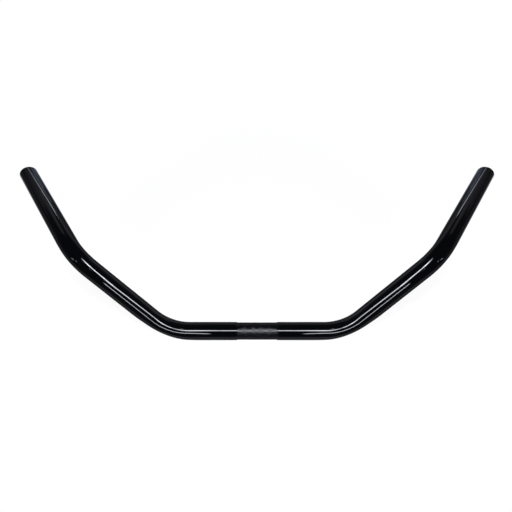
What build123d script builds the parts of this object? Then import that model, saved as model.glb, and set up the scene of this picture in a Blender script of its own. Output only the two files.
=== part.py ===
"""Cruiser handlebar: one steel tube with two bends on each side and a thinner neck for the stem.

Millimetres. The origin is the centre of the neck. +X runs along the centre run to the right grip,
+Y points back to the grip ends, and +Z is up, off the level surface that the bar lies on.
"""
from build123d import *
import math
import os

# Tube
TUBE_DIAMETER = 22.2
WALL_THICKNESS = 1.6

# Runs of the centre line, measured between the corners that its bends round off
CENTRE_RUN = 218.0
ARM_RUN = 139.0
GRIP_RUN = 173.5

# Bends, and the turn of the tube about the arm between one bend and the next
ARM_BEND_ANGLE = 46.0
ARM_BEND_RADIUS = 62.0
GRIP_BEND_ANGLE = 48.0
GRIP_BEND_RADIUS = 47.0
BEND_PLANE_TURN = 102.0

# The outer wall of a bend is drawn in as it stretches, most a little past the middle of the bend. It runs
# out to a round section again some way into the straight runs
ARM_BEND_FLAT = 2.4
ARM_BEND_RUN_OUT = 20.0
GRIP_BEND_FLAT = 2.2
GRIP_BEND_RUN_OUT = 12.0
FLAT_PEAK = 0.6
BEND_SECTIONS = 19

# Neck that the stem's clamp closes on
NECK_DIAMETER = 21.1
NECK_LENGTH = 48.0
NECK_TAPER = 1.0

# Cut ends
RIM_ROUNDING = 0.6
BORE_CHAMFER = 0.3

TUBE_RADIUS = TUBE_DIAMETER / 2
NECK_RADIUS = NECK_DIAMETER / 2
BORE_RADIUS = TUBE_RADIUS - WALL_THICKNESS
NECK_BORE_RADIUS = NECK_RADIUS - WALL_THICKNESS
FLAT_SKEW = math.log(0.5) / math.log(FLAT_PEAK)
ROLL_STEPS = 60
NEAR = 0.001


def turned(vector, about, angle):
    """A direction turned about another one by the right-hand rule."""
    return vector.rotate(Axis((0, 0, 0), about), angle)


def setback(bend_radius, angle):
    """How far from its corner a bend begins and ends."""
    return bend_radius * math.tan(math.radians(angle) / 2)


# Directions and corners of the right half of the centre line, with the first bend lying flat
ALONG = Vector(1, 0, 0)
FIRST_NORMAL = Vector(0, 0, 1)
ARM = turned(ALONG, FIRST_NORMAL, ARM_BEND_ANGLE)
SECOND_NORMAL = turned(FIRST_NORMAL, ARM, -BEND_PLANE_TURN)
GRIP = turned(ARM, SECOND_NORMAL, GRIP_BEND_ANGLE)
FIRST_CORNER = ALONG * (CENTRE_RUN / 2)
SECOND_CORNER = FIRST_CORNER + ARM * ARM_RUN
END = SECOND_CORNER + GRIP * GRIP_RUN

ARM_SETBACK = setback(ARM_BEND_RADIUS, ARM_BEND_ANGLE)
GRIP_SETBACK = setback(GRIP_BEND_RADIUS, GRIP_BEND_ANGLE)
CENTRE_STRAIGHT = CENTRE_RUN - 2 * ARM_SETBACK
ARM_STRAIGHT = ARM_RUN - ARM_SETBACK - GRIP_SETBACK
GRIP_STRAIGHT = GRIP_RUN - GRIP_SETBACK


def rim_gap(roll):
    """Height of the rounded end rims above the surface under the centre run, at a roll about X."""
    tip = END.rotate(Axis.X, roll)
    slope = turned(GRIP, ALONG, roll).Z
    ring_radius = TUBE_RADIUS - RIM_ROUNDING
    ring_height = tip.Z - RIM_ROUNDING * slope
    lowest = ring_height - ring_radius * math.sqrt(1 - slope**2) - RIM_ROUNDING
    return lowest + TUBE_RADIUS


def resting_roll():
    """The roll at which the centre run and both end rims touch one level surface, by halving."""
    low, high = 0.0, 90.0
    for _ in range(ROLL_STEPS):
        middle = (low + high) / 2
        if rim_gap(middle) > 0:
            high = middle
        else:
            low = middle
    return (low + high) / 2


def section(plane, radius, flat):
    """Round section whose half on the outside of the bend, at +x, is drawn in by flat."""
    inner_half = CenterArc((0, 0), radius, 90, 180)
    if flat > NEAR:
        outer_half = EllipticalCenterArc((0, 0), radius - flat, radius, -90, arc_size=180)
    else:
        outer_half = CenterArc((0, 0), radius, -90, 180)
    return plane * make_face([inner_half, outer_half])


def bend_plane(start, heading, normal, bend_radius, angle, distance):
    """The plane across the tube at a distance from the start of a bend: before it, in it or past it."""
    arc = bend_radius * math.radians(angle)
    distance_in_arc = min(max(distance, 0), arc)
    turn = math.degrees(distance_in_arc / bend_radius)
    outward = heading.cross(normal)
    pivot = start - outward * bend_radius
    outward_here = turned(outward, normal, turn)
    heading_here = turned(heading, normal, turn)
    centre = pivot + outward_here * bend_radius + heading_here * (distance - distance_in_arc)
    return Plane(centre, x_dir=outward_here, z_dir=heading_here)


def bend(start, heading, normal, bend_radius, angle, run_out, radius, flat):
    """One bend as a loft through sections along its arc and its run-outs, round at both ends."""
    length = bend_radius * math.radians(angle) + 2 * run_out
    sections = []
    for i in range(BEND_SECTIONS):
        share = i / (BEND_SECTIONS - 1)
        drawn_in = flat * math.sin(math.pi * share**FLAT_SKEW) ** 2
        plane = bend_plane(start, heading, normal, bend_radius, angle, share * length - run_out)
        sections.append(section(plane, radius, drawn_in))
    return loft(sections)


def straight(start, heading, across, length, radius):
    """A straight run of the tube."""
    return extrude(section(Plane(start, x_dir=across, z_dir=heading), radius, 0), amount=length)


def half_bar(radius):
    """Right half beyond the centre run, filled to a radius: bend, arm, bend and grip."""
    arm_bend_start = FIRST_CORNER - ALONG * ARM_SETBACK
    arm_start = FIRST_CORNER + ARM * (ARM_SETBACK + ARM_BEND_RUN_OUT)
    arm_length = ARM_STRAIGHT - ARM_BEND_RUN_OUT - GRIP_BEND_RUN_OUT
    grip_bend_start = SECOND_CORNER - ARM * GRIP_SETBACK
    grip_start = SECOND_CORNER + GRIP * (GRIP_SETBACK + GRIP_BEND_RUN_OUT)
    grip_length = GRIP_STRAIGHT - GRIP_BEND_RUN_OUT
    arm_bend = bend(
        arm_bend_start,
        ALONG,
        FIRST_NORMAL,
        ARM_BEND_RADIUS,
        ARM_BEND_ANGLE,
        ARM_BEND_RUN_OUT,
        radius,
        ARM_BEND_FLAT,
    )
    arm = straight(arm_start, ARM, ARM.cross(FIRST_NORMAL), arm_length, radius)
    grip_bend = bend(
        grip_bend_start,
        ARM,
        SECOND_NORMAL,
        GRIP_BEND_RADIUS,
        GRIP_BEND_ANGLE,
        GRIP_BEND_RUN_OUT,
        radius,
        GRIP_BEND_FLAT,
    )
    grip = straight(grip_start, GRIP, GRIP.cross(SECOND_NORMAL), grip_length, radius)
    return arm_bend + arm + grip_bend + grip


def centre_run(radius, neck_radius):
    """The centre run, filled to a radius, turned down to the neck through a short taper at each side."""
    half_length = CENTRE_STRAIGHT / 2 - ARM_BEND_RUN_OUT
    half_neck = NECK_LENGTH / 2
    profile = Polyline(
        (-half_length, 0),
        (-half_length, radius),
        (-half_neck - NECK_TAPER, radius),
        (-half_neck, neck_radius),
        (half_neck, neck_radius),
        (half_neck + NECK_TAPER, radius),
        (half_length, radius),
        (half_length, 0),
        close=True,
    )
    return revolve(make_face(profile), Axis.X)


def whole_bar(radius, neck_radius):
    """Centre run and both halves, filled to a radius."""
    right = half_bar(radius)
    left = mirror(right, about=Plane.YZ)
    return centre_run(radius, neck_radius) + right + left


def rim_edges(bar, radius):
    """Edges of a radius around the cut end of either grip."""
    ends = [END, Vector(-END.X, END.Y, END.Z)]
    return [
        edge
        for edge in bar.edges().filter_by(GeomType.CIRCLE)
        if abs(edge.radius - radius) < NEAR and min((edge.arc_center - end).length for end in ends) < NEAR
    ]


def handlebar():
    """The hollow bar with rounded rims, rolled on to its rest."""
    bar = whole_bar(TUBE_RADIUS, NECK_RADIUS) - whole_bar(BORE_RADIUS, NECK_BORE_RADIUS)
    bar = fillet(rim_edges(bar, TUBE_RADIUS), RIM_ROUNDING)
    bar = chamfer(rim_edges(bar, BORE_RADIUS), BORE_CHAMFER)
    return bar.rotate(Axis.X, resting_roll())


os.makedirs("parts", exist_ok=True)
bar = handlebar()
bar.label = "handlebar"
export_step(bar, "parts/handlebar.step")

roll = resting_roll()
arcs = 2 * math.radians(ARM_BEND_ANGLE * ARM_BEND_RADIUS + GRIP_BEND_ANGLE * GRIP_BEND_RADIUS)
tube_length = CENTRE_STRAIGHT + 2 * (ARM_STRAIGHT + GRIP_STRAIGHT) + arcs
print(f"roll {roll:.4f} degrees, tube length {tube_length:.1f} mm")
print("right end", END.rotate(Axis.X, roll), "heading", turned(GRIP, ALONG, roll))
print(f"straight lengths: centre {CENTRE_STRAIGHT:.3f}, arm {ARM_STRAIGHT:.3f}, grip {GRIP_STRAIGHT:.3f}")
print("box", bar.bounding_box())
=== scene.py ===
# %% [markdown]
# # A cruiser handlebar, painted gloss black
#
# The real bar is one length of steel tube. It is bent twice on each side, swaged to a slightly thinner
# neck in the middle for the stem, knurled there so that the stem's clamp can bite, cut square at both
# ends and painted. This lesson rebuilds its surface in Blender, around the imported CAD model, in metres.
#
# The first cell loads that model as a fixed frame and keeps its box, whose bottom later sets the
# height of the floor.

# %% Load the frame
import math
from collections import namedtuple

import bpy
import numpy as np
from mathutils import Matrix, Vector


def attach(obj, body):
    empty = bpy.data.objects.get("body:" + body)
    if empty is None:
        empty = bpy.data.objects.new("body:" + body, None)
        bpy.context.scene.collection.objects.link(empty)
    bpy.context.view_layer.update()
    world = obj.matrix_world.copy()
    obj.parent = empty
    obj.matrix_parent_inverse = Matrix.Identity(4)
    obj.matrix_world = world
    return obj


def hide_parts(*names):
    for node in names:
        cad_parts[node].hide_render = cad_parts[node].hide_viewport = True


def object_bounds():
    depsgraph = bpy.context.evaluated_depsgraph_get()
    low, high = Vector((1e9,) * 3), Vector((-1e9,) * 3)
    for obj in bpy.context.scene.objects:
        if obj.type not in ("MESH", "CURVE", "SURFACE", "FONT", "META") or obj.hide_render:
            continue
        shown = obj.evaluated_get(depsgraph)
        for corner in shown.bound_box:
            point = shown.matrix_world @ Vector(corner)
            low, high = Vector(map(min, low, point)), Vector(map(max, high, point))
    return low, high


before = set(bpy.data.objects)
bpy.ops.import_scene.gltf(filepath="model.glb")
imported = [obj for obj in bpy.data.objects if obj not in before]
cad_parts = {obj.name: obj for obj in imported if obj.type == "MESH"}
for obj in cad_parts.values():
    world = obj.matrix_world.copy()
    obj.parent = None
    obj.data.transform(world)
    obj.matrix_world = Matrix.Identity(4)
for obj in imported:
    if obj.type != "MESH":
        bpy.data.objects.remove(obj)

CAD_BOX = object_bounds()
print("CAD nodes:", sorted(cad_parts), "box:", [tuple(corner) for corner in CAD_BOX])

# %% [markdown]
# ## The centre line
#
# A bender feeds straight tube through two dies, so the bar is known by a few numbers: the runs between
# the corners, the angle and radius of each bend, and how far the tube is turned about itself between
# the first bend and the second. They could be read off the CAD mesh, but a mesh has lost its centre
# line. The same numbers that the tube is bent to are simpler, and they give exact directions.
#
# Only the right half is worked out. The left half is its mirror image in X.

# %% Runs, bends and directions
MM = 0.001
TUBE_RADIUS = 11.1 * MM
CENTRE_RUN = 218.0 * MM
ARM_RUN = 139.0 * MM
GRIP_RUN = 173.5 * MM
ARM_BEND_ANGLE = math.radians(46.0)
ARM_BEND_RADIUS = 62.0 * MM
GRIP_BEND_ANGLE = math.radians(48.0)
GRIP_BEND_RADIUS = 47.0 * MM
BEND_PLANE_TURN = math.radians(102.0)
REST_ROLL = math.radians(37.1677)


def turned(vector, about, angle):
    """A direction turned about another one by the right-hand rule."""
    return Matrix.Rotation(angle, 3, about) @ vector


ALONG = Vector((1, 0, 0))
FIRST_NORMAL = turned(Vector((0, 0, 1)), ALONG, REST_ROLL)
ARM = turned(ALONG, FIRST_NORMAL, ARM_BEND_ANGLE)
SECOND_NORMAL = turned(FIRST_NORMAL, ARM, -BEND_PLANE_TURN)
GRIP = turned(ARM, SECOND_NORMAL, GRIP_BEND_ANGLE)

ARM_SETBACK = ARM_BEND_RADIUS * math.tan(ARM_BEND_ANGLE / 2)
GRIP_SETBACK = GRIP_BEND_RADIUS * math.tan(GRIP_BEND_ANGLE / 2)
CENTRE_HALF = CENTRE_RUN / 2 - ARM_SETBACK
ARM_STRAIGHT = ARM_RUN - ARM_SETBACK - GRIP_SETBACK
GRIP_STRAIGHT = GRIP_RUN - GRIP_SETBACK
print("right grip points along", [round(x, 3) for x in GRIP])

# %% [markdown]
# ## Stations along the tube
#
# A bevelled curve would be the quick way to a tube, but it has the same round section all along. Here
# the section changes in the bends, so the tube is described by stations instead. Each one has the
# centre, two spokes that the section is drawn on, the way out of the bend, and how far the outer wall
# is drawn in there.
#
# The spokes turn with the tube and never about it, so lines along the surface stay straight.

# %% Stations on a straight run
Station = namedtuple("Station", "centre heading first_spoke second_spoke out flat distance")

WAY_OUT = ALONG.cross(FIRST_NORMAL)
MIDDLE = Station(
    centre=Vector((0, 0, 0)),
    heading=ALONG,
    first_spoke=WAY_OUT,
    second_spoke=FIRST_NORMAL,
    out=WAY_OUT,
    flat=0.0,
    distance=0.0,
)


def ahead(station, length):
    """The station that a straight run leads to."""
    return station._replace(
        centre=station.centre + station.heading * length,
        flat=0.0,
        distance=station.distance + length,
    )


def straight(start, length, steps):
    """Stations along a straight run, without its start."""
    return [ahead(start, length * i / steps) for i in range(1, steps + 1)]


print("the walk starts in the middle and heads along", tuple(MIDDLE.heading))

# %% [markdown]
# ## Bends
#
# A bend stretches the outer wall of the tube, which is drawn in by a couple of millimetres, most a little
# past the middle of the bend, and runs out to a round section again some way into the straight. A curve
# modifier would bend a finished tube but keep it round. Here each station knows by how much its outer
# wall is drawn in, and the loops of points are drawn with that.

# %% Stations through a bend
FLAT_PEAK = 0.6
FLAT_SKEW = math.log(0.5) / math.log(FLAT_PEAK)

Bend = namedtuple("Bend", "normal radius angle run_out flat")
ARM_BEND = Bend(FIRST_NORMAL, ARM_BEND_RADIUS, ARM_BEND_ANGLE, run_out=20.0 * MM, flat=2.4 * MM)
GRIP_BEND = Bend(SECOND_NORMAL, GRIP_BEND_RADIUS, GRIP_BEND_ANGLE, run_out=12.0 * MM, flat=2.2 * MM)


def bent(start, bend, steps):
    """Stations through a bend and its run-outs into the straight runs, without its start."""
    out = start.heading.cross(bend.normal)
    bend_start = start.centre + start.heading * bend.run_out
    pivot = bend_start - out * bend.radius
    arc = bend.radius * bend.angle
    stations = []
    for i in range(1, steps + 1):
        share = i / steps
        walked = share * (arc + 2 * bend.run_out)
        in_arc = min(max(walked - bend.run_out, 0), arc)
        turn = Matrix.Rotation(in_arc / bend.radius, 3, bend.normal)
        heading = turn @ start.heading
        off_arc = walked - bend.run_out - in_arc
        station = Station(
            centre=pivot + turn @ out * bend.radius + heading * off_arc,
            heading=heading,
            first_spoke=turn @ start.first_spoke,
            second_spoke=turn @ start.second_spoke,
            out=turn @ out,
            flat=bend.flat * math.sin(math.pi * share**FLAT_SKEW) ** 2,
            distance=start.distance + walked,
        )
        stations.append(station)
    return stations


print("outer walls are drawn in by up to", ARM_BEND.flat / MM, "and", GRIP_BEND.flat / MM, "mm")

# %% A walk from the middle to the right end
CENTRE_STEPS = 1
ARM_STEPS = 4
OUTSIDE_BEND_STEPS = 38


def walk_from_centre_run(bend_steps):
    """Stations from the end of the centre run to the start of the right grip."""
    stations = straight(MIDDLE, CENTRE_HALF - ARM_BEND.run_out, CENTRE_STEPS)
    stations += bent(stations[-1], ARM_BEND, bend_steps)
    stations += straight(stations[-1], ARM_STRAIGHT - ARM_BEND.run_out - GRIP_BEND.run_out, ARM_STEPS)
    stations += bent(stations[-1], GRIP_BEND, bend_steps)
    return stations


WALK = walk_from_centre_run(OUTSIDE_BEND_STEPS)
RIGHT_END = ahead(WALK[-1], GRIP_STRAIGHT - GRIP_BEND.run_out)
print("right end at", [round(x / MM, 2) for x in RIGHT_END.centre], "mm")
print("half of the tube is", round(RIGHT_END.distance / MM, 2), "mm long")

# %% [markdown]
# ## Rings
#
# A ring is one loop of points round a station. Where the tube is straight it is a circle. In a bend the
# half towards the outside is an ellipse, because the wall there is drawn in. The points are kept twice:
# where they are on the bent bar, and where they were on the straight tube before it was bent. The paint
# and the marks of tube drawing follow the second, so that they run along the tube round every bend.

# %% A ring at a station
DIAMONDS_AROUND = 36
POINTS_PER_DIAMOND = 6
AROUND = DIAMONDS_AROUND * POINTS_PER_DIAMOND
ANGLES = np.arange(AROUND) * 2 * math.pi / AROUND
COSINES = np.cos(ANGLES)[:, None]
SINES = np.sin(ANGLES)[:, None]

Ring = namedtuple("Ring", "points straight_points bore_depth")


def ring(station, radius, bore_depth=0.0):
    """Points round a station. The radius is one number, or one for each point."""
    radii = np.broadcast_to(np.asarray(radius, float), (AROUND,))[:, None]
    spokes = COSINES * np.array(station.first_spoke) + SINES * np.array(station.second_spoke)
    outward = np.array(station.out)
    share_outward = np.maximum(spokes @ outward, 0)[:, None]
    points = np.array(station.centre) + radii * spokes - share_outward * station.flat * outward
    lengthwise = np.full((AROUND, 1), station.distance)
    straight_points = np.hstack([lengthwise, radii * COSINES, radii * SINES])
    return Ring(points, straight_points, np.full(AROUND, bore_depth))


print("a ring has", AROUND, "points")

# %% [markdown]
# ## The knurled neck
#
# The middle of the bar is swaged half a millimetre thinner all round, so that the stem's clamp drops into
# a seat and can't creep sideways. It is knurled with two sets of grooves that wind round it and leave a
# field of diamonds. Paint fills the grooves, so they are shallow and their crests are soft. The wheels
# that press a knurl never bite equally deep, so its depth swells and fades along the neck, and the light
# on it breaks up into patches.
#
# A bump map would give the glitter but not the outline, and the mesh is handed on too, so the knurl is
# real geometry. Rings stand six to a diamond, as the points round them do, so that both sets of grooves
# run exactly along the diagonals of the grid and stay clean.

# %% Shape of the knurl
NECK_RADIUS = 10.55 * MM
NECK_HALF = 24.0 * MM
DIAMONDS_IN_HALF = 8
DIAMOND_LENGTH = NECK_HALF / DIAMONDS_IN_HALF
KNURL_DEPTH = 0.26 * MM
KNURL_MARGIN = 1.5 * MM
BITE_LENGTH = 11.0 * MM
BITE_PHASE = 1.0
BITE_SWING = 2.0
SWINGS_AROUND = 2
SHALLOW_BITE = 0.35


def eased(share):
    """A smooth rise from 0 to 1."""
    share = np.clip(share, 0, 1)
    return share * share * (3 - 2 * share)


def crest(phase):
    """Height of a ridge between two grooves, 0 in a groove and 1 on the crest."""
    from_groove = np.abs(2 * (phase % 1.0) - 1)
    return eased(from_groove)


def knurl_bite(x):
    """How deep the wheels bite at the points round the neck, from SHALLOW_BITE to 1."""
    swing = BITE_SWING * np.sin(SWINGS_AROUND * ANGLES)
    waves = np.sin(2 * math.pi * x / BITE_LENGTH + BITE_PHASE + swing)
    return SHALLOW_BITE + (1 - SHALLOW_BITE) * eased(0.5 + 0.5 * waves)


def knurled_radius(x):
    """Radii of the points round the neck at a distance from its middle."""
    turns = ANGLES / (2 * math.pi) * DIAMONDS_AROUND
    lengths = x / DIAMOND_LENGTH
    height = np.minimum(crest(turns + lengths), crest(turns - lengths))
    fade = eased((NECK_HALF - x) / KNURL_MARGIN)
    return NECK_RADIUS - KNURL_DEPTH * knurl_bite(x) * fade * (1 - height)


print("knurl:", DIAMONDS_AROUND * DIAMONDS_IN_HALF * 2, "diamonds,", KNURL_DEPTH / MM, "mm deep at most")

# %% Rings of the neck and its taper
NECK_TAPER = 1.0 * MM
TAPER_STEPS = 6

neck_rings = [
    ring(ahead(MIDDLE, x), knurled_radius(x))
    for x in np.linspace(0, NECK_HALF, DIAMONDS_IN_HALF * POINTS_PER_DIAMOND + 1)
]
for i in range(1, TAPER_STEPS + 1):
    share = i / TAPER_STEPS
    taper_radius = NECK_RADIUS + (TUBE_RADIUS - NECK_RADIUS) * float(eased(share))
    neck_rings.append(ring(ahead(MIDDLE, NECK_HALF + share * NECK_TAPER), taper_radius))
print("right half of the neck:", len(neck_rings), "rings")

# %% [markdown]
# ## Cut ends and bore
#
# The tube is sawn square and tumbled, which leaves a small round on the outer rim and a chamfer in the
# mouth of the bore. A disc with a dark middle would do from afar. Here the bore goes on through the whole
# bar with the wall's thickness all round, so that someone who looks into an end sees the inside of a
# tube. Its rings lie closer near the mouth, where the finish changes.

# %% Rings of the rim
WALL = 1.6 * MM
RIM_ROUND = 0.6 * MM
MOUTH_CHAMFER = 0.3 * MM
RIM_STEPS = 7
BORE_RADIUS = TUBE_RADIUS - WALL


def before_end(length):
    """The station a little before the cut end."""
    return ahead(RIGHT_END, -length)


rim_rings = []
for i in range(RIM_STEPS + 1):
    angle = math.pi / 2 * i / RIM_STEPS
    rim_radius = TUBE_RADIUS - RIM_ROUND * (1 - math.cos(angle))
    rim_rings.append(ring(before_end(RIM_ROUND * (1 - math.sin(angle))), rim_radius))
rim_rings.append(ring(RIGHT_END, BORE_RADIUS + MOUTH_CHAMFER))
rim_rings.append(ring(before_end(MOUTH_CHAMFER), BORE_RADIUS))
print("rim:", len(rim_rings), "rings")

# %% Rings of the bore, from the mouth back to the middle
MOUTH_STEPS = 6
MOUTH_LENGTH = 24.0 * MM
BORE_BEND_STEPS = 16
NECK_BORE_RADIUS = NECK_RADIUS - WALL
NECK_BORE = (
    (NECK_HALF + NECK_TAPER, BORE_RADIUS),
    (NECK_HALF, NECK_BORE_RADIUS),
    (0.0, NECK_BORE_RADIUS),
)

bore_rings = []
for i in range(1, MOUTH_STEPS + 1):
    depth = MOUTH_LENGTH * i / MOUTH_STEPS
    bore_rings.append(ring(before_end(MOUTH_CHAMFER + depth), BORE_RADIUS, depth))
for station in reversed(walk_from_centre_run(BORE_BEND_STEPS)):
    bore_rings.append(ring(station, BORE_RADIUS, RIGHT_END.distance - station.distance))
for x, bore_radius in NECK_BORE:
    bore_rings.append(ring(ahead(MIDDLE, x), bore_radius, RIGHT_END.distance - x))
print("bore:", len(bore_rings), "rings")

# %% [markdown]
# ## One closed skin
#
# The rings of the right half run from the middle of the outside, over the rim and back down the bore.
# The same rings mirrored give the left half. A mirror modifier would do that too, but its two halves
# would have to be welded. Joined end to end, the rings close on themselves, outside and in, so one grid
# of quads covers the whole bar with no hole and no loose edge.

# %% Build the mesh
SHARP_ANGLE = math.radians(35)
MIRROR = np.array([-1.0, 1.0, 1.0])


def mirrored(item):
    """The same ring on the left half of the bar."""
    return Ring(item.points * MIRROR, item.straight_points * MIRROR, item.bore_depth)


outside_rings = [ring(station, TUBE_RADIUS) for station in WALK]
half_rings = neck_rings + outside_rings + rim_rings + bore_rings
all_rings = half_rings + [mirrored(item) for item in reversed(half_rings[1:-1])]
vertices = np.concatenate([item.points for item in all_rings])
quads = []
for i in range(len(all_rings)):
    here = i * AROUND
    after = (i + 1) % len(all_rings) * AROUND
    for k in range(AROUND):
        k_after = (k + 1) % AROUND
        quads.append((here + k, after + k, after + k_after, here + k_after))

bar_mesh = bpy.data.meshes.new("painted_bar")
bar_mesh.from_pydata(vertices.tolist(), [], quads)
bar_mesh.polygons.foreach_set("use_smooth", [True] * len(quads))
bar_mesh.set_sharp_from_angle(angle=SHARP_ANGLE)
painted_bar = bpy.data.objects.new("painted_bar", bar_mesh)
bpy.context.scene.collection.objects.link(painted_bar)
print("bar mesh:", len(vertices), "points,", 2 * len(quads), "triangles")

# %% [markdown]
# ## What the finishes need to know
#
# The materials ask two things of each point: where it was on the straight tube, and how deep in the bore
# it lies. An unwrapped map could hold the first, but it has a seam. Both are stored on the mesh as named
# attributes instead. Faces inside the bore get the second material slot, the bare steel, and everything
# else is painted.

# %% Attributes and material slots
straight_points = np.concatenate([item.straight_points for item in all_rings]).astype(np.float32)
straight_place = bar_mesh.attributes.new("straight_place", "FLOAT_VECTOR", "POINT")
straight_place.data.foreach_set("vector", straight_points.ravel())

depths = np.concatenate([item.bore_depth for item in all_rings]).astype(np.float32)
bore_depth = bar_mesh.attributes.new("bore_depth", "FLOAT", "POINT")
bore_depth.data.foreach_set("value", depths)

in_bore = [max(depths[corner] for corner in quad) > 0 for quad in quads]
bar_mesh.polygons.foreach_set("material_index", [int(inside) for inside in in_bore])
print(sum(in_bore), "faces are in the bore")

# %% [markdown]
# ## Tools for the finishes
#
# Every finish is one Principled shader fed by a few nodes. They could be placed one by one in the shader
# editor, but a handful of helpers keeps the cells short. The first adds a node and sets its input sockets
# by name, the second starts a material, and the others each add one step of a pattern.

# %% Start a material
def node(tree, kind, **values):
    """A new node with its input sockets set by name."""
    made = tree.nodes.new(kind)
    for name, value in values.items():
        made.inputs[name.replace("_", " ")].default_value = value
    return made


def new_material(name):
    """A material with one Principled shader, a bump node on it and the place on the straight tube."""
    material = bpy.data.materials.new(name)
    material.use_nodes = True
    tree = material.node_tree
    tree.nodes.clear()
    output = tree.nodes.new("ShaderNodeOutputMaterial")
    shader = tree.nodes.new("ShaderNodeBsdfPrincipled")
    bump = tree.nodes.new("ShaderNodeBump")
    place = tree.nodes.new("ShaderNodeAttribute")
    place.attribute_name = "straight_place"
    tree.links.new(shader.outputs["BSDF"], output.inputs["Surface"])
    tree.links.new(bump.outputs["Normal"], shader.inputs["Normal"])
    return material, tree, shader, bump, place.outputs["Vector"]


print("materials start with a shader, a bump node and the place on the straight tube")

# %% Steps of a pattern
Grain = namedtuple("Grain", "waves stretch detail")


def noise(tree, place, grain):
    """Noise with a number of waves in a metre, drawn out along the tube."""
    squeeze = node(tree, "ShaderNodeMapping", Scale=(1 / grain.stretch, 1, 1))
    made = node(tree, "ShaderNodeTexNoise", Scale=grain.waves, Detail=grain.detail)
    tree.links.new(place, squeeze.inputs["Vector"])
    tree.links.new(squeeze.outputs["Vector"], made.inputs["Vector"])
    return made.outputs["Fac"]


def between(tree, value, source, target):
    """A value carried smoothly from one range to another."""
    made = node(
        tree,
        "ShaderNodeMapRange",
        From_Min=source[0],
        From_Max=source[1],
        To_Min=target[0],
        To_Max=target[1],
    )
    made.interpolation_type = "SMOOTHSTEP"
    tree.links.new(value, made.inputs["Value"])
    return made.outputs["Result"]


def combine(tree, operation, first, second):
    """Two values put together by a Math node. The second may be a number."""
    made = tree.nodes.new("ShaderNodeMath")
    made.operation = operation
    tree.links.new(first, made.inputs[0])
    if isinstance(second, float):
        made.inputs[1].default_value = second
    else:
        tree.links.new(second, made.inputs[1])
    return made.outputs["Value"]


def blend(tree, share, first, second):
    """A colour between two others. Each is a colour or another node's output."""
    made = tree.nodes.new("ShaderNodeMix")
    made.data_type = "RGBA"
    tree.links.new(share, made.inputs["Factor"])
    for socket, colour in ((made.inputs[6], first), (made.inputs[7], second)):
        if isinstance(colour, tuple):
            socket.default_value = colour
        else:
            tree.links.new(colour, socket)
    return made.outputs[2]


print("a pattern is made of", [step.__name__ for step in (noise, between, combine, blend)])

# %% [markdown]
# ## Gloss black paint
#
# Black enamel sends almost no light back from its depth, so what the eye reads is the mirror on top of
# it: thin white lines where lamps are reflected, and black where the room is dark. A plain black plastic
# would do, but its mirror turns bright at the edges of a tube, where it would show the white floor as two
# pale bands, and this paint stays black there. So it is made as a very dark metal. Base Color is then the
# share of light that the mirror sends back face on, and Specular Tint tames what it sends back at the
# edges.
#
# Sprayed paint is never quite flat. It has a skin like orange peel, two or three millimetres from hill to
# hill, a few nibs of dust, and streaks along the tube where it was wiped. On the knurl it dries duller.

# %% Nibs of dust and the dull knurl
NIB_SPACING = 16 * MM
NIB_RADIUS = 0.4 * MM
DULL_EDGE = (NECK_HALF + 0.4 * MM, NECK_HALF - 0.6 * MM)


def dust_nibs(tree, place):
    """Round specks scattered over the surface: 1 in the middle of a speck and 0 outside."""
    cells = node(tree, "ShaderNodeTexVoronoi", Scale=1 / NIB_SPACING)
    tree.links.new(place, cells.inputs["Vector"])
    return between(tree, cells.outputs["Distance"], (0.0, NIB_RADIUS / NIB_SPACING), (1.0, 0.0))


def dull_on_knurl(tree, place):
    """1 on the knurled neck and 0 elsewhere."""
    axes = tree.nodes.new("ShaderNodeSeparateXYZ")
    distance = tree.nodes.new("ShaderNodeMath")
    distance.operation = "ABSOLUTE"
    tree.links.new(place, axes.inputs["Vector"])
    tree.links.new(axes.outputs["X"], distance.inputs[0])
    return between(tree, distance.outputs["Value"], DULL_EDGE, (0.0, 1.0))


print("nibs are about", NIB_SPACING / MM, "mm apart")

# %% Paint
PAINT_THIN = (0.0205, 0.0208, 0.0228, 1)
PAINT_THICK = (0.0235, 0.0238, 0.0258, 1)
PAINT_EDGE = (0.42, 0.42, 0.424, 1)
FILM = Grain(waves=60.0, stretch=3.0, detail=2.0)
STREAKS = Grain(waves=420.0, stretch=14.0, detail=3.0)
PEEL = Grain(waves=380.0, stretch=1.0, detail=1.0)
NOISE_BULK = (0.3, 0.7)
STREAK_ROUGHNESS = (0.03, 0.075)
KNURL_ROUGHNESS = 0.22
PEEL_HEIGHT = 0.008 * MM
NIB_HEIGHT = 0.012 * MM


def gloss_black_paint():
    """Black enamel: a dark mirror with peel, nibs of dust and wiped streaks."""
    material, tree, shader, bump, place = new_material("gloss_black_paint")
    shader.inputs["Metallic"].default_value = 1.0
    shader.inputs["Specular Tint"].default_value = PAINT_EDGE
    film = blend(tree, noise(tree, place, FILM), PAINT_THIN, PAINT_THICK)
    tree.links.new(film, shader.inputs["Base Color"])

    streaks = between(tree, noise(tree, place, STREAKS), NOISE_BULK, STREAK_ROUGHNESS)
    dull = combine(tree, "MULTIPLY", dull_on_knurl(tree, place), KNURL_ROUGHNESS)
    tree.links.new(combine(tree, "ADD", streaks, dull), shader.inputs["Roughness"])

    peel = combine(tree, "MULTIPLY", noise(tree, place, PEEL), PEEL_HEIGHT)
    nibs = combine(tree, "MULTIPLY", dust_nibs(tree, place), NIB_HEIGHT)
    bump.inputs["Distance"].default_value = 1.0
    tree.links.new(combine(tree, "ADD", peel, nibs), bump.inputs["Height"])
    return material


bar_mesh.materials.append(gloss_black_paint())
print("paint: peel", PEEL_HEIGHT / MM, "mm high, nibs", NIB_HEIGHT / MM, "mm high")

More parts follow.
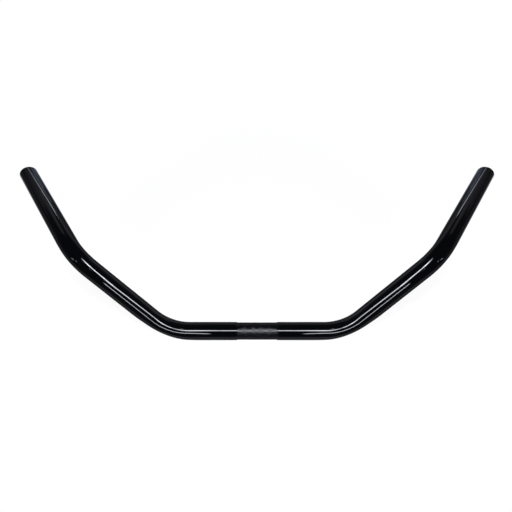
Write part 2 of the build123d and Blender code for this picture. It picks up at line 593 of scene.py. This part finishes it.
# %% [markdown]
# ## Bare steel in the bore
#
# The inside of a drawn tube is never painted. It is dull grey, with fine lines along it from the plug
# that it was drawn over, and brown where it has begun to rust. A little black spray drifts into each
# mouth and thins out over the first centimetres. A ramp along the world's axes could place it, but the
# bore runs slantwise, so the stored depth in the bore decides how much of it shows.

# %% Bore steel
STEEL_DARK = (0.2, 0.195, 0.19, 1)
STEEL_LIGHT = (0.36, 0.35, 0.335, 1)
RUST = (0.15, 0.095, 0.062, 1)
SPRAY = (0.03, 0.03, 0.032, 1)
DRAW_LINES = Grain(waves=900.0, stretch=40.0, detail=3.0)
RUST_PATCHES = Grain(waves=110.0, stretch=2.5, detail=4.0)
SPRAY_RAGS = Grain(waves=300.0, stretch=3.0, detail=2.0)
RUST_EDGE = (0.5, 0.68)
RUST_COVER = (0.0, 0.8)
SPRAY_REACH = (6 * MM, 24 * MM)
SPRAY_RAG_LENGTH = 14 * MM
LINES_AND_RUST = (0.3, 1.3)
STEEL_ROUGHNESS = (0.34, 0.7)
DRAW_LINE_HEIGHT = 0.02 * MM


def bore_steel():
    """Drawn steel with lines along it, a first brown of rust and spray near the mouth."""
    material, tree, shader, bump, place = new_material("bore_steel")
    shader.inputs["Metallic"].default_value = 1.0
    lines = noise(tree, place, DRAW_LINES)
    rust = between(tree, noise(tree, place, RUST_PATCHES), RUST_EDGE, RUST_COVER)
    depth = tree.nodes.new("ShaderNodeAttribute")
    depth.attribute_name = "bore_depth"
    rags = combine(tree, "MULTIPLY", noise(tree, place, SPRAY_RAGS), SPRAY_RAG_LENGTH)
    ragged_depth = combine(tree, "ADD", depth.outputs["Fac"], rags)
    spray = between(tree, ragged_depth, SPRAY_REACH, (1.0, 0.0))

    steel = blend(tree, between(tree, lines, NOISE_BULK, (0.0, 1.0)), STEEL_DARK, STEEL_LIGHT)
    rusty_steel = blend(tree, rust, steel, RUST)
    tree.links.new(blend(tree, spray, rusty_steel, SPRAY), shader.inputs["Base Color"])
    roughness = between(tree, combine(tree, "ADD", lines, rust), LINES_AND_RUST, STEEL_ROUGHNESS)
    tree.links.new(roughness, shader.inputs["Roughness"])
    bump.inputs["Distance"].default_value = DRAW_LINE_HEIGHT
    tree.links.new(lines, bump.inputs["Height"])
    return material


bar_mesh.materials.append(bore_steel())
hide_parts("handlebar")
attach(painted_bar, "root")
print("materials:", [material.name for material in bar_mesh.materials])

# %% [markdown]
# ## White floor
#
# The bar lies on a plain white sheet. Light alone could make it white, but that much light would spoil
# the black, so most of the white is the sheet's own. Light Path gives it to rays from the camera and to
# mirrored rays alike, so that the paint shows the same floor as the eye sees. A small share is plain
# diffuse, and that share takes the bar's shadow.
#
# The sheet's own white is a little weaker under the lamps, where they add theirs. Far away it fades to
# the grey of the room, so that a camera that looks along the floor sees no hard edge.

# %% Floor finish
FLOOR_WHITE = 0.985
FLOOR_UNDER_LAMPS = 0.88
FLOOR_FAR = 0.2
FLOOR_LIT_SHARE = 0.12
LAMP_SPOT = Vector((0, -0.05, 0))
LAMP_SPOT_EDGE = (0.08, 0.42)
FLOOR_FADE = (1.0, 6.0)


def white_floor():
    """A pale sheet that is white to the eye and in reflections, and still takes a shadow."""
    material = bpy.data.materials.new("white_floor")
    material.use_nodes = True
    tree = material.node_tree
    tree.nodes.clear()
    output = tree.nodes.new("ShaderNodeOutputMaterial")
    both = tree.nodes.new("ShaderNodeAddShader")
    lit = node(tree, "ShaderNodeBsdfDiffuse", Color=(FLOOR_LIT_SHARE,) * 3 + (1,))
    glow = node(tree, "ShaderNodeEmission", Color=(1, 1, 1, 1))
    place = tree.nodes.new("ShaderNodeTexCoord").outputs["Object"]
    distance = tree.nodes.new("ShaderNodeVectorMath")
    distance.operation = "DISTANCE"
    distance.inputs[1].default_value = LAMP_SPOT
    tree.links.new(place, distance.inputs[0])
    spread_out = distance.outputs["Value"]
    near = between(tree, spread_out, LAMP_SPOT_EDGE, (FLOOR_UNDER_LAMPS, FLOOR_WHITE))
    far = between(tree, spread_out, FLOOR_FADE, (1.0, FLOOR_FAR / FLOOR_WHITE))
    path = tree.nodes.new("ShaderNodeLightPath").outputs
    mirrored_ray = combine(tree, "MAXIMUM", path["Is Glossy Ray"], path["Is Transmission Ray"])
    seen = combine(tree, "MAXIMUM", path["Is Camera Ray"], mirrored_ray)
    own_white = combine(tree, "MULTIPLY", near, far)
    tree.links.new(combine(tree, "MULTIPLY", own_white, seen), glow.inputs["Strength"])
    tree.links.new(lit.outputs["BSDF"], both.inputs[0])
    tree.links.new(glow.outputs["Emission"], both.inputs[1])
    tree.links.new(both.outputs["Shader"], output.inputs["Surface"])
    return material


print("floor: white", FLOOR_WHITE, "and", FLOOR_UNDER_LAMPS, "under the lamps")

# %% Floor
FLOOR_HALF = 40.0
FLOOR_CORNERS = ((-1, -1), (1, -1), (1, 1), (-1, 1))

floor_height = CAD_BOX[0].z
corners = [(x * FLOOR_HALF, y * FLOOR_HALF, floor_height) for x, y in FLOOR_CORNERS]
floor_mesh = bpy.data.meshes.new("floor")
floor_mesh.from_pydata(corners, [], [(0, 1, 2, 3)])
floor_mesh.materials.append(white_floor())
floor = bpy.data.objects.new("floor", floor_mesh)
bpy.context.scene.collection.objects.link(floor)
print("floor at", round(floor_height / MM, 3), "mm")

# %% [markdown]
# ## Lamps that draw the lines
#
# A glossy tube stretches every lamp into a line along itself, so here the lamps are placed for their
# reflections. Follow a ray from the camera to the tube, mirror it in the surface, and see where it goes:
# that is where the lamp has to be. Each lamp is a strip, given by its two ends and a point that it faces,
# because the ends of a strip are what shows as the ends of a line.
#
# A lamp's power says little about how bright it looks, so the helper asks for the brightness of its
# surface and works out the power from that. A grid in front of a lamp, which Blender calls spread, keeps
# its light off the parts that should not show it.

# %% Strip lamps
WHITE_LIGHT = (1.0, 1.0, 1.0)
PALE_LIGHT = (0.94, 1.0, 1.0)
COOL_LIGHT = (0.8, 1.0, 1.2)
NO_GRID = 180.0


def power_of(brightness, length, depth, half_spread):
    """Watts of a lamp whose surface looks that bright through its grid."""
    grid_share = 1 - half_spread / math.tan(half_spread)
    return brightness * length * depth * math.pi * grid_share


def strip(name, start, end, aim, depth, brightness, spread=NO_GRID, colour=WHITE_LIGHT):
    """A lamp from one point to another that faces a third. Its grid opens by a spread in degrees."""
    along = Vector(end) - Vector(start)
    middle = (Vector(start) + Vector(end)) / 2
    x_axis = along.normalized()
    back = middle - Vector(aim)
    z_axis = (back - back.dot(x_axis) * x_axis).normalized()
    half_spread = math.radians(spread) / 2
    lamp = bpy.data.lights.new(name, "AREA")
    lamp.shape = "RECTANGLE"
    lamp.size = along.length
    lamp.size_y = depth
    lamp.spread = 2 * half_spread
    lamp.color = colour
    lamp.energy = power_of(brightness, along.length, depth, half_spread)
    holder = bpy.data.objects.new(name, lamp)
    turn = Matrix((x_axis, z_axis.cross(x_axis), z_axis)).transposed()
    holder.matrix_world = Matrix.Translation(middle) @ turn.to_4x4()
    holder.visible_camera = False
    bpy.context.scene.collection.objects.link(holder)
    print(f"{name}: {along.length:.3f} x {depth:.3f} m, {lamp.energy:.2f} W")


def pair(name, start, end, aim, **looks):
    """The same strip on the right and, mirrored, on the left."""
    for side, flip in (("right", Vector((1, 1, 1))), ("left", Vector((-1, 1, 1)))):
        strip(f"{name}_{side}", flip * Vector(start), flip * Vector(end), flip * Vector(aim), **looks)


bare_power = power_of(1.0, 1.0, 1.0, math.radians(NO_GRID) / 2)
print("a bare lamp of one square metre with a brightness of 1 takes", round(bare_power, 2), "W")

# %% [markdown]
# ## The main line
#
# The main line runs from the middle of the bar round the first bend and out along the arm. A single
# straight lamp would leave it broken at the bend. So a shallow arch over the bar draws all of it but the
# end, in three pieces: a level middle and two sides that slope down. The grids on the sides keep them out
# of the second bends, where they would end the line in a hook. A small strip near each second bend draws
# the tapered end instead, and a short one beside it fills the place where the arch's light runs out.

# %% Key lamps
KEY_Y = 0.0034
KEY_DEPTH = 0.0449
KEY_CORNER = (0.03, KEY_Y, 0.3)
TIP_DEPTH = 0.0263

strip(
    "key_middle",
    start=(-0.03, KEY_Y, 0.3),
    end=KEY_CORNER,
    aim=(0, KEY_Y, 0),
    depth=KEY_DEPTH,
    brightness=28.8,
)
pair(
    "key",
    start=KEY_CORNER,
    end=(0.14, KEY_Y, 0.2577),
    aim=(0.08, KEY_Y, 0),
    depth=KEY_DEPTH,
    brightness=50.0,
    spread=82.0,
)
pair(
    "fill",
    start=(0.0736, 0.0358, 0.1736),
    end=(0.1016, 0.0608, 0.1966),
    aim=(0.1834, 0.0613, 0.0465),
    depth=TIP_DEPTH,
    brightness=20.0,
    spread=44.0,
)
pair(
    "tip",
    start=(0.0836, 0.0447, 0.1823),
    end=(0.206, 0.1428, 0.2177),
    aim=(0.1999, 0.0772, 0.055),
    depth=TIP_DEPTH,
    brightness=58.0,
    spread=48.0,
)

# %% [markdown]
# ## The second line, the fine line and the glints
#
# A shorter line runs below the main one, from the outer part of the centre run to the middle of the arm.
# A strip in front of each arm draws it. On each grip there is one fine line, the reflection of something
# bright at the far edge of the floor, so a strip lies there behind each grip. Two small strips far out to
# the side put the broken glint on the outside of each second bend. All of them could be painted on as
# pale streaks, but then they would not move when the bar is seen from elsewhere.

# %% Other strips
GLINT_DEPTH = 0.025
GLINT_BRIGHTNESS = 6.0
SECOND_BEND_PLACE = (0.2, 0.07, 0.06)

pair(
    "second",
    start=(0.1605, -0.0748, 0.2),
    end=(0.0755, -0.1588, 0.2),
    aim=(0.118, -0.1168, 0),
    depth=0.0238,
    brightness=24.7,
)
pair(
    "low",
    start=(0.275, 1.0, 0.02),
    end=(0.605, 1.0, 0.02),
    aim=(0.26, 0.17, 0.02),
    depth=0.06,
    brightness=18.5,
    spread=50.0,
    colour=PALE_LIGHT,
)
pair(
    "glint_long",
    start=(0.617, -0.03, 0.25),
    end=(0.474, 0.0, 0.25),
    aim=SECOND_BEND_PLACE,
    depth=GLINT_DEPTH,
    brightness=GLINT_BRIGHTNESS,
)
pair(
    "glint_short",
    start=(0.397, 0.011, 0.25),
    end=(0.373, 0.005, 0.25),
    aim=SECOND_BEND_PLACE,
    depth=GLINT_DEPTH,
    brightness=GLINT_BRIGHTNESS,
)

# %% [markdown]
# ## Soft cards
#
# The grips face away from all these strips, and what they show is the back of the room. A wide white card
# stands there on each side, with a dimmer one above it and a small dim one further forward, so that the
# grey on the grips begins softly. A paler room would do that too, but the arms would show it as well, and
# they are black. So the wide cards are turned outwards behind grids, and the arm across from them sees
# nothing.
#
# Two more cards lie on the floor past each grip end, the inner one dimmer. They put a cool sheen on the
# inner side of the grip.

# %% Cards
CARD_AIM = (1.203, 0.161, 0.19)
CARD_SPREAD = 130.0
SHEEN_Y = 0.293
SHEEN_Z = -0.01
SHEEN_DEPTH = 0.134

pair(
    "card",
    start=(0.438, 0.947, 0.19),
    end=(1.284, 1.255, 0.19),
    aim=CARD_AIM,
    depth=0.38,
    brightness=1.1,
    spread=CARD_SPREAD,
)
pair(
    "card_top",
    start=(0.438, 0.947, 0.44),
    end=(1.284, 1.255, 0.44),
    aim=CARD_AIM,
    depth=0.12,
    brightness=0.55,
    spread=CARD_SPREAD,
)
pair(
    "card_side",
    start=(0.493, 0.457, 0.09),
    end=(0.599, 0.34, 0.09),
    aim=(0.27, 0.15, 0.03),
    depth=0.12,
    brightness=0.3,
)
pair(
    "sheen",
    start=(0.272, SHEEN_Y, SHEEN_Z),
    end=(0.308, SHEEN_Y, SHEEN_Z),
    aim=(0.29, SHEEN_Y, 1),
    depth=SHEEN_DEPTH,
    brightness=3.3,
    colour=COOL_LIGHT,
)
pair(
    "sheen_edge",
    start=(0.25, SHEEN_Y, SHEEN_Z),
    end=(0.272, SHEEN_Y, SHEEN_Z),
    aim=(0.261, SHEEN_Y, 1),
    depth=SHEEN_DEPTH,
    brightness=1.2,
    colour=COOL_LIGHT,
)

# %% [markdown]
# ## A dim room
#
# The rest of the room is what makes the paint look black. It is dim and a little cool, paler at the
# horizon, where the far floor fades into it, and darker overhead. Walls and a ceiling could be built, but
# nothing shows them, so the world is painted by the direction in which a ray leaves, and Z tells how high
# it points.

# %% World
HORIZON = (0.2, 0.204, 0.218, 1)
CEILING = (0.1, 0.108, 0.13, 1)
CEILING_FROM = 0.5

world = bpy.data.worlds.new("dim_room")
bpy.context.scene.world = world
world.use_nodes = True
sky = world.node_tree
sky.nodes.clear()
sky_output = sky.nodes.new("ShaderNodeOutputWorld")
background = sky.nodes.new("ShaderNodeBackground")
direction = sky.nodes.new("ShaderNodeTexCoord")
sky_axes = sky.nodes.new("ShaderNodeSeparateXYZ")
sky.links.new(direction.outputs["Generated"], sky_axes.inputs["Vector"])
height_share = between(sky, sky_axes.outputs["Z"], (0.0, CEILING_FROM), (0.0, 1.0))
sky.links.new(blend(sky, height_share, HORIZON, CEILING), background.inputs["Color"])
sky.links.new(background.outputs["Background"], sky_output.inputs["Surface"])
print("room from", HORIZON[:3], "at the horizon to", CEILING[:3], "overhead")

# %% [markdown]
# ## Camera
#
# The bar is seen from above, almost straight down, as it lies on the floor. A camera could be set by eye,
# but a line that is off by a pixel shows on so plain a shape. So its distance, tilt and lens come from a
# fit of a pinhole camera and the bent tube to the bar's outline.

# %% Camera
LOOK_AT = Vector((-1.3 * MM, 94.5 * MM, 0))
CAMERA_DISTANCE = 545.1 * MM
CAMERA_TILT = math.radians(12.84)
LENS = 30.0
SENSOR = 36.0

camera_data = bpy.data.cameras.new("camera")
camera_data.lens = LENS
camera_data.sensor_width = SENSOR
camera = bpy.data.objects.new("camera", camera_data)
camera.rotation_euler = (CAMERA_TILT, 0, 0)
towards_camera = Vector((0, -math.sin(CAMERA_TILT), math.cos(CAMERA_TILT)))
camera.location = LOOK_AT + CAMERA_DISTANCE * towards_camera
bpy.context.scene.collection.objects.link(camera)
bpy.context.scene.camera = camera
bpy.context.scene.view_settings.view_transform = "Standard"
print("camera at", [round(x, 4) for x in camera.location])
